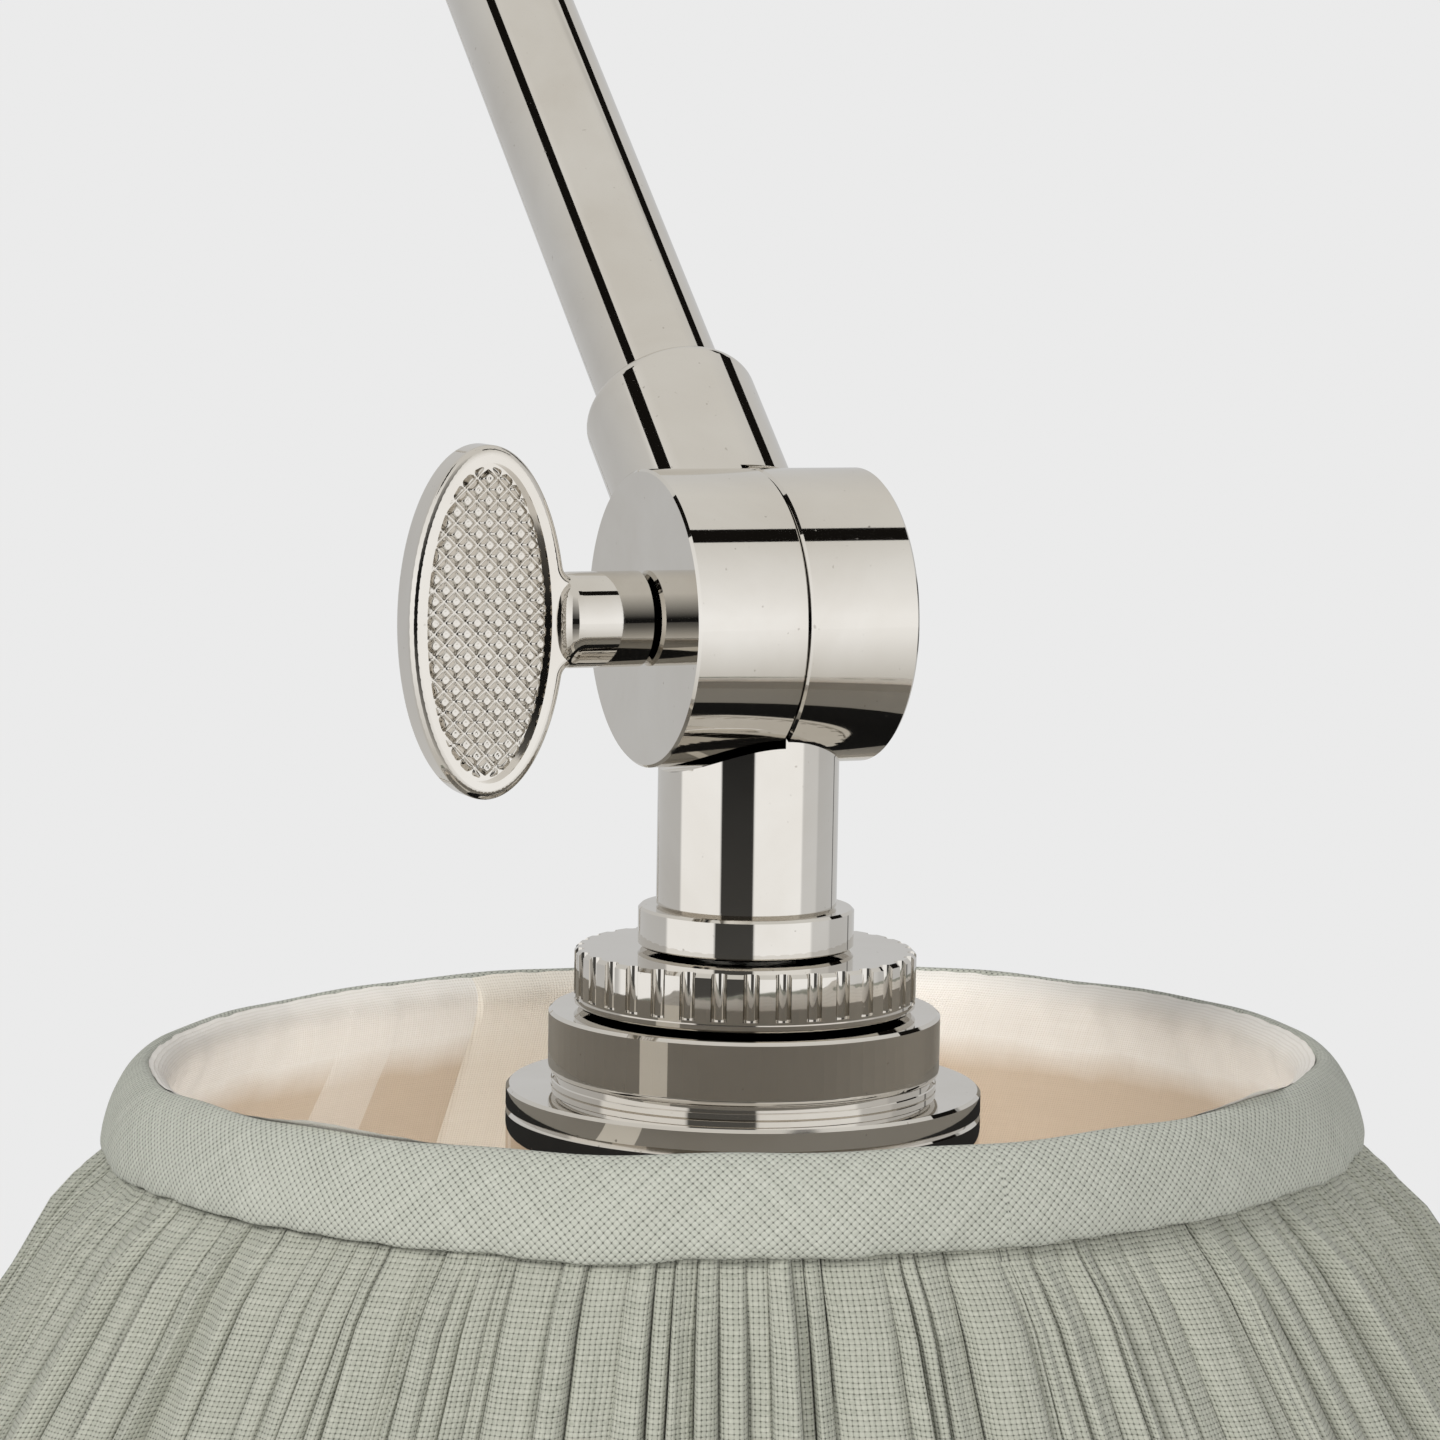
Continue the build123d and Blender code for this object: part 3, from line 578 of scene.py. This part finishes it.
def gridPiece(name, points, clothMap, material, closed=True):
    # points: rows x columns x 3, going round when closed; clothMap: one column more, in metres of cloth
    rows, columns = points.shape[:2]
    last = columns if closed else columns - 1
    row, column = np.meshgrid(np.arange(rows - 1), np.arange(last), indexing="ij")
    beside = (column + 1) % columns
    faces = np.stack([row * columns + column, (row + 1) * columns + column,
                      (row + 1) * columns + beside, row * columns + beside], -1).reshape(-1, 4)
    mesh = bpy.data.meshes.new(name)
    mesh.from_pydata(points.reshape(-1, 3).tolist(), [], faces.tolist())
    corners = np.stack([clothMap[row, column], clothMap[row + 1, column],
                        clothMap[row + 1, column + 1], clothMap[row, column + 1]], 2)
    layer = mesh.uv_layers.new(name="cloth")
    layer.data.foreach_set("uv", corners.reshape(-1).astype(np.float32))
    mesh.polygons.foreach_set("use_smooth", np.ones(len(mesh.polygons), bool))
    mesh.materials.append(material)
    piece = bpy.data.objects.new(name, mesh)
    bpy.context.scene.collection.objects.link(piece)
    return piece


def softWave(rng, columns, turns, strength):
    # a smooth random line round the shade
    line = np.zeros(columns)
    at = np.linspace(0, 2 * np.pi, columns, endpoint=False)
    for count in turns:
        line += np.sin(at * count + rng.uniform(0, 2 * np.pi)) * rng.uniform(.4, 1)
    return strength * line / math.sqrt(len(turns))


# pleated cover; pairs are the least and the most, and "sagging" and "reversed" are shares of all the pleats
cover = {"pleats": 164, "perPleat": 14, "rows": 46, "seed": 7, "start": 6.9 * mm, "edge": 8.1 * mm,
         "peakInset": 0.35 * mm, "depthTop": 2.7 * mm, "depthLow": 3.4 * mm, "tuck": 0.7 * mm,
         "gather": 5 * mm, "widths": (.42, 2.5), "widthSpread": .5, "lap": (-.01, .10), "sag": .30,
         "sagging": .45, "fold": (.35, .65), "foldWidth": .14, "heights": (.52, 1.15), "lean": .27,
         "reversed": .22, "drift": .20, "breath": .22, "swell": .25 * mm, "grain": .06 * mm,
         "ribWidth": 1.6 * mm, "ribClear": 2.45 * mm}
# one pleat: share of its width, and height, from one crease to the next
pleatStations = np.array([0, .05, .12, .30, .50, .68, .82, .92, 1.0])
pleatShares = np.array([0, .02, .09, .30, .54, .76, .93, 1.03, 1.0])
pleatHeights = np.array([0, .45, .90, 1.0, .97, .92, .82, .45, 0])


def buildCover():
    rng = np.random.default_rng(cover["seed"])
    count, each, rows = cover["pleats"], cover["perPleat"], cover["rows"]
    columns = count * each
    widths = np.clip(rng.lognormal(0, cover["widthSpread"], count), *cover["widths"])
    edges = np.concatenate([[0], np.cumsum(widths)]) / widths.sum() * 2 * np.pi
    station = np.linspace(0, 1, each, endpoint=False)
    share = np.zeros((count, each))
    height = np.zeros((count, each))
    for number in range(count):
        lap = rng.uniform(*cover["lap"])
        sag = rng.uniform(0, cover["sag"]) if rng.random() < cover["sagging"] else 0
        fold = rng.uniform(*cover["fold"])
        x = pleatShares.copy()
        x[6:8] += lap
        h = pleatHeights * rng.uniform(*cover["heights"])
        h[2:7] -= sag * np.exp(-((x[2:7] - fold) / cover["foldWidth"]) ** 2)
        h[2:7] += rng.uniform(-cover["lean"], cover["lean"]) * (x[2:7] - .5) * 2
        if rng.random() < cover["reversed"]:
            x, h = 1 - x[::-1], h[::-1]
        stations = pleatStations if x[1] < .05 else 1 - pleatStations[::-1]
        share[number] = np.interp(station, stations, x)
        height[number] = np.interp(station, stations, h)
    height = height.reshape(-1)
    height = .5 * height + .25 * (np.roll(height, 1) + np.roll(height, -1))
    depths = cover["start"] + (shadeDepth - 2 * cover["start"]) * np.linspace(0, 1, rows)
    fall = (depths - depths[0]) / (depths[-1] - depths[0])
    # creases wander a little on their way down, and the folds breathe
    free = np.sin(np.pi * fall) ** .8
    phase = rng.uniform(0, 2 * np.pi, (3, count))
    strength = rng.uniform(.3, 1, (3, count))
    gap = np.diff(edges)
    near = np.minimum(gap, np.roll(gap, 1))
    drift = np.zeros((rows, count))
    breath = np.ones((rows, count))
    for number, pace in enumerate((1.3, 2.7, 5.1)):
        wave = np.sin(pace * np.pi * fall[:, None] + phase[number]) * strength[number] / (number + 1)
        drift += cover["drift"] * near * free[:, None] * wave
        swing = np.sin(pace * 1.7 * np.pi * fall[:, None] + phase[number] * 2)
        breath += cover["breath"] * swing * strength[number] / (number + 1)
    left = edges[:-1] + drift
    right = np.concatenate([left[:, 1:], left[:, :1] + 2 * np.pi], 1)
    turn = left[:, :, None] + (right - left)[:, :, None] * share[None]
    turn = turn.reshape(rows, columns)
    deep = cover["depthTop"] + (cover["depthLow"] - cover["depthTop"]) * fall
    grow = np.clip((depths - cover["edge"]) / cover["gather"], 0, 1)
    grow *= np.clip((shadeDepth - cover["edge"] - depths) / cover["gather"], 0, 1)
    breathed = np.repeat(breath, each, 1)
    lift = height[None] * breathed * deep[:, None] * (.3 + .7 * grow[:, None])
    rest = wallRadius(depths) - cover["peakInset"] - deep - cover["tuck"] * (1 - grow)
    wide = softWave(rng, columns, (2, 3, 5), cover["swell"])
    radius = rest[:, None] + lift + wide[None] * free[:, None]
    grain = rng.normal(0, 1, (rows, columns))
    for step in range(3):
        grain = .5 * grain + .25 * (np.roll(grain, 1, 0) + np.roll(grain, -1, 0))
        grain = .5 * grain + .25 * (np.roll(grain, 1, 1) + np.roll(grain, -1, 1))
    # over each of the eight wire ribs the creases stop short of the wire
    ribTurn = np.mod(turn + np.pi / 8, np.pi / 4) - np.pi / 8
    wall = wallRadius(depths)[:, None]
    overRib = np.abs(ribTurn) * wall < cover["ribWidth"]
    radius = np.where(overRib, np.maximum(radius, wall - cover["ribClear"]), radius)
    points = shadePoint(turn, radius + grain * cover["grain"], depths[:, None])
    # cloth lengths: across, measured from each pleat's middle; down, along the slant
    around = np.linalg.norm(np.roll(points, -1, 1) - points, axis=2)
    length = np.concatenate([np.zeros((rows, 1)), np.cumsum(around, 1)], 1)
    middle = length[:, each // 2::each][:, :count]
    laid = np.cumsum(np.concatenate([[0], np.diff(middle[rows // 2])]))
    which = np.minimum(np.arange(columns + 1) // each, count - 1)
    across = length - middle[:, which] + laid[which][None]
    down = np.repeat((depths * slantRate)[:, None], columns + 1, 1)
    piece = gridPiece("gathered_cover", points, np.stack([across, down], -1), clothFinish["linen"])
    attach(piece, "lamp_head")
    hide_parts("shade_cover")
    return rng


rng = buildCover()


# bias binding, folded over the wire ring: radius and depth pairs from inside to outside, in millimetres
topBinding = {"profile": [(54.9, 1.1), (54.95, .7), (55.2, .3), (55.7, .05), (56.4, .25), (57.4, 1.1),
                          (58.2, 2.3), (58.9, 3.7), (59.4, 5.1), (59.7, 6.3), (59.8, 7.2), (59.7, 8.0),
                          (59.5, 8.3), (59.0, 8.35), (58.7, 7.7)],
              "columns": 720}
binding = {"rows": 44, "edgeRow": 38, "edgeReach": 3.5 * mm, "wave": .22 * mm, "ripple": .14 * mm}
# the top rim rolls in and out a little, and the lining follows it
rim = {"columns": 1440, "seed": 5, "roll": .20 * mm}


def smoothLine(points, steps):
    # a rounded line through the points, evenly divided
    points = np.array(points, float)
    padded = np.concatenate([[2 * points[0] - points[1]], points, [2 * points[-1] - points[-2]]])
    out = []
    for number in range(len(points) - 1):
        a, b, c, d = padded[number:number + 4]
        for share in np.linspace(0, 1, 8, endpoint=False):
            out.append(.5 * (2 * b + (c - a) * share + (2 * a - 5 * b + 4 * c - d) * share ** 2
                             + (3 * b - a - 3 * c + d) * share ** 3))
    out.append(points[-1])
    out = np.array(out)
    walk = np.concatenate([[0], np.cumsum(np.linalg.norm(np.diff(out, axis=0), axis=1))])
    even = np.linspace(0, walk[-1], steps)
    return np.stack([np.interp(even, walk, out[:, side]) for side in range(2)], 1), even


rimTurns = np.linspace(0, 2 * np.pi, rim["columns"], endpoint=False)
rimRoll = softWave(np.random.default_rng(rim["seed"]), rim["columns"], (2, 3, 7, 12, 19), rim["roll"])


def buildBinding(name, node, outline, columns, rng):
    line, walk = smoothLine(outline, binding["rows"])
    line = line * mm
    walk = walk * mm
    turn = np.linspace(0, 2 * np.pi, columns, endpoint=False)
    edge = softWave(rng, columns, (3, 5, 9, 14, 23, 41, 67), binding["wave"])
    ripple = softWave(rng, columns, (31, 47, 83, 109), binding["ripple"])
    roll = np.interp(turn, rimTurns, rimRoll, period=2 * np.pi)
    nearEdge = np.clip(1 - np.abs(walk - walk[binding["edgeRow"]]) / binding["edgeReach"], 0, 1)
    radius = line[:, 0][:, None] + roll[None] + ripple[None] * nearEdge[:, None]
    depth = line[:, 1][:, None] + edge[None] * nearEdge[:, None] + roll[None]
    points = shadePoint(turn[None], radius, depth)
    lengths = np.linspace(0, 2 * np.pi, columns + 1) * line[:, 0].mean()
    clothMap = np.stack(np.broadcast_arrays(lengths[None], walk[:, None]), -1)
    piece = gridPiece(name, points, clothMap, clothFinish["binding"])
    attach(piece, "lamp_head")
    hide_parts(node)


buildBinding("top_bias_binding", "top_binding", topBinding["profile"], topBinding["columns"], rng)

lowEdge = shadeDepth / mm
lowWall = wallRadius(shadeDepth) / mm
bottomBinding = {"profile": [(lowWall - 6.0 - 3.2, lowEdge - 5.0), (lowWall - 6.0 - 1.0, lowEdge - 1.6),
                             (lowWall - 5.3, lowEdge - .3), (lowWall - 3.6, lowEdge),
                             (lowWall - 1.6, lowEdge - .2), (lowWall - .3, lowEdge - 1.3),
                             (lowWall - 1.1, lowEdge - 3.4), (lowWall - 3.0, lowEdge - 6.2),
                             (lowWall - 5.2, lowEdge - 9.3), (lowWall - 5.9, lowEdge - 9.9),
                             (lowWall - 6.6, lowEdge - 9.6)],
                 "columns": 1100}
buildBinding("bottom_bias_binding", "bottom_binding", bottomBinding["profile"], bottomBinding["columns"], rng)


# lining, stretched inside the frame, a little scalloped between the ribs, its hem turned out to the rim
def buildLining(rng):
    columns, rows = lining["columns"], lining["rows"]
    turn = np.linspace(0, 2 * np.pi, columns, endpoint=False)
    reach = shadeDepth - lining["lowClear"] - lining["start"]
    depths = lining["start"] + reach * np.linspace(0, 1, rows) ** lining["crowding"]
    radius = np.repeat((wallRadius(depths) - lining["inset"])[:, None], columns, 1)
    radius += (lining["flare"] * np.exp(-depths / lining["flareReach"]))[:, None]
    fall = (depths / shadeDepth)[:, None]
    scallop = .5 * (1 - np.cos(turn * lining["ribs"]))[None]
    radius -= scallop * np.sin(np.pi * fall) * lining["scallop"]
    wrinkle = softWave(rng, columns, (17, 29, 43, 61), lining["wrinkle"])
    tight = softWave(rng, columns, (23, 37, 53), lining["wrinkle"])
    settled = np.clip(depths / lining["settle"], 0, 1)[:, None]
    radius += (wrinkle[None] * (1 - fall) ** 2 + tight[None] * fall ** 2) * settled
    # the overlap and the seam allowance stand a little proud
    around = turn - np.pi
    for (low, high), proud in ((lining["lap"], lining["lapProud"]), (lining["seam"], lining["seamProud"])):
        inside = np.clip((around - low) / .012, 0, 1) * np.clip((high - around) / .006, 0, 1)
        radius -= inside[None] * proud * settled
    # two places where the hem climbs over the rim and shows its edge
    roll = np.interp(turn, rimTurns, rimRoll, period=2 * np.pi)
    climb = sum(np.exp(-((turn - place) / width) ** 2) for place, width in lining["climbs"])
    nearRim = np.exp(-depths / lining["rimFade"])[:, None]
    radius += (roll + climb * lining["climbOut"])[None] * nearRim
    waver = softWave(rng, columns, (41, 67, 97), lining["rimWaver"])
    deep = depths[:, None] + (roll - climb * lining["climbUp"] + waver)[None] * nearRim
    points = shadePoint(turn[None], radius, deep)
    walk = np.linspace(0, 2 * np.pi, columns + 1)[None] * (wallRadius(depths)[:, None] - lining["inset"])
    walk = walk - walk[:, columns // 2][:, None]
    down = np.repeat((depths * slantRate)[:, None], columns + 1, 1)
    piece = gridPiece("stretched_lining", points, np.stack([walk, down], -1), clothFinish["lining"])
    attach(piece, "lamp_head")
    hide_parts("shade_lining")


buildLining(rng)
print("shade built")


# knurled pads pressed into both faces of each thumb key
pad = {"halfWidth": 6.0 * mm, "halfHeight": 14.7 * mm, "base": 1.25 * mm, "rise": .62 * mm,
       "pitch": 1.45 * mm, "cell": .16 * mm, "fromTip": 7.7 * mm, "sway": .08 * mm, "swayRates": (700, 600),
       "bluntness": .12, "rimShare": .07, "sink": .25, "seed": 11}


def buildPad(name, keyNode, side, body, seed):
    rng = np.random.default_rng(seed)
    low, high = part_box(keyNode)
    middle = Vector(((low.x + high.x) / 2, 0, (low.z + high.z) / 2))
    plateY = low.y + pad["fromTip"]   # half the plate's width in from the key's tip
    half = np.arange(0, 1.0001, pad["cell"] / pad["halfWidth"])
    across = np.concatenate([-half[:0:-1], half])
    steps = int(round(2 * pad["halfHeight"] / pad["cell"]))
    upward = np.linspace(-1, 1, steps)
    s, h = np.meshgrid(across, upward)
    y = s * pad["halfWidth"] * np.sqrt(np.clip(1 - h ** 2, 0, 1) * .999 + .001)
    z = h * pad["halfHeight"]
    # two sets of slanting grooves, cut by hand and so not quite straight
    sway = rng.normal(0, 1, (2,))
    firstRate, secondRate = pad["swayRates"]
    a = (y + z + pad["sway"] * np.sin(z * firstRate + sway[0])) / pad["pitch"] / math.sqrt(2)
    b = (y - z + pad["sway"] * np.sin(z * secondRate + sway[1])) / pad["pitch"] / math.sqrt(2)
    ridgeA = np.abs(2 * (a - np.floor(a)) - 1)
    ridgeB = np.abs(2 * (b - np.floor(b)) - 1)
    pyramid = np.minimum(1 - ridgeA, 1 - ridgeB) * 2
    blunt = pyramid / (1 + pad["bluntness"] * pyramid ** 4)
    edge = np.sqrt(s ** 2 * (1 - h ** 2) + h ** 2)
    fade = np.clip((1 - edge) / pad["rimShare"], 0, 1)
    lift = pad["base"] + pad["rise"] * (blunt * fade - pad["sink"] * (1 - fade))
    points = np.stack([middle.x + side * lift, plateY + side * y, middle.z + z], -1)
    clothMap = np.stack([y, z], -1)
    piece = gridPiece(name, points, clothMap, finishes["polished_nickel"], closed=False)
    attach(piece, body)


for keyNode, body in (("head_key", "head_key"), ("top_key", "arm_key"), ("height_key", "height_key")):
    for side, word in ((1, "front"), (-1, "back")):
        buildPad(keyNode + "_pad_" + word, keyNode, side, body, pad["seed"] + side)
print("key pads pressed")
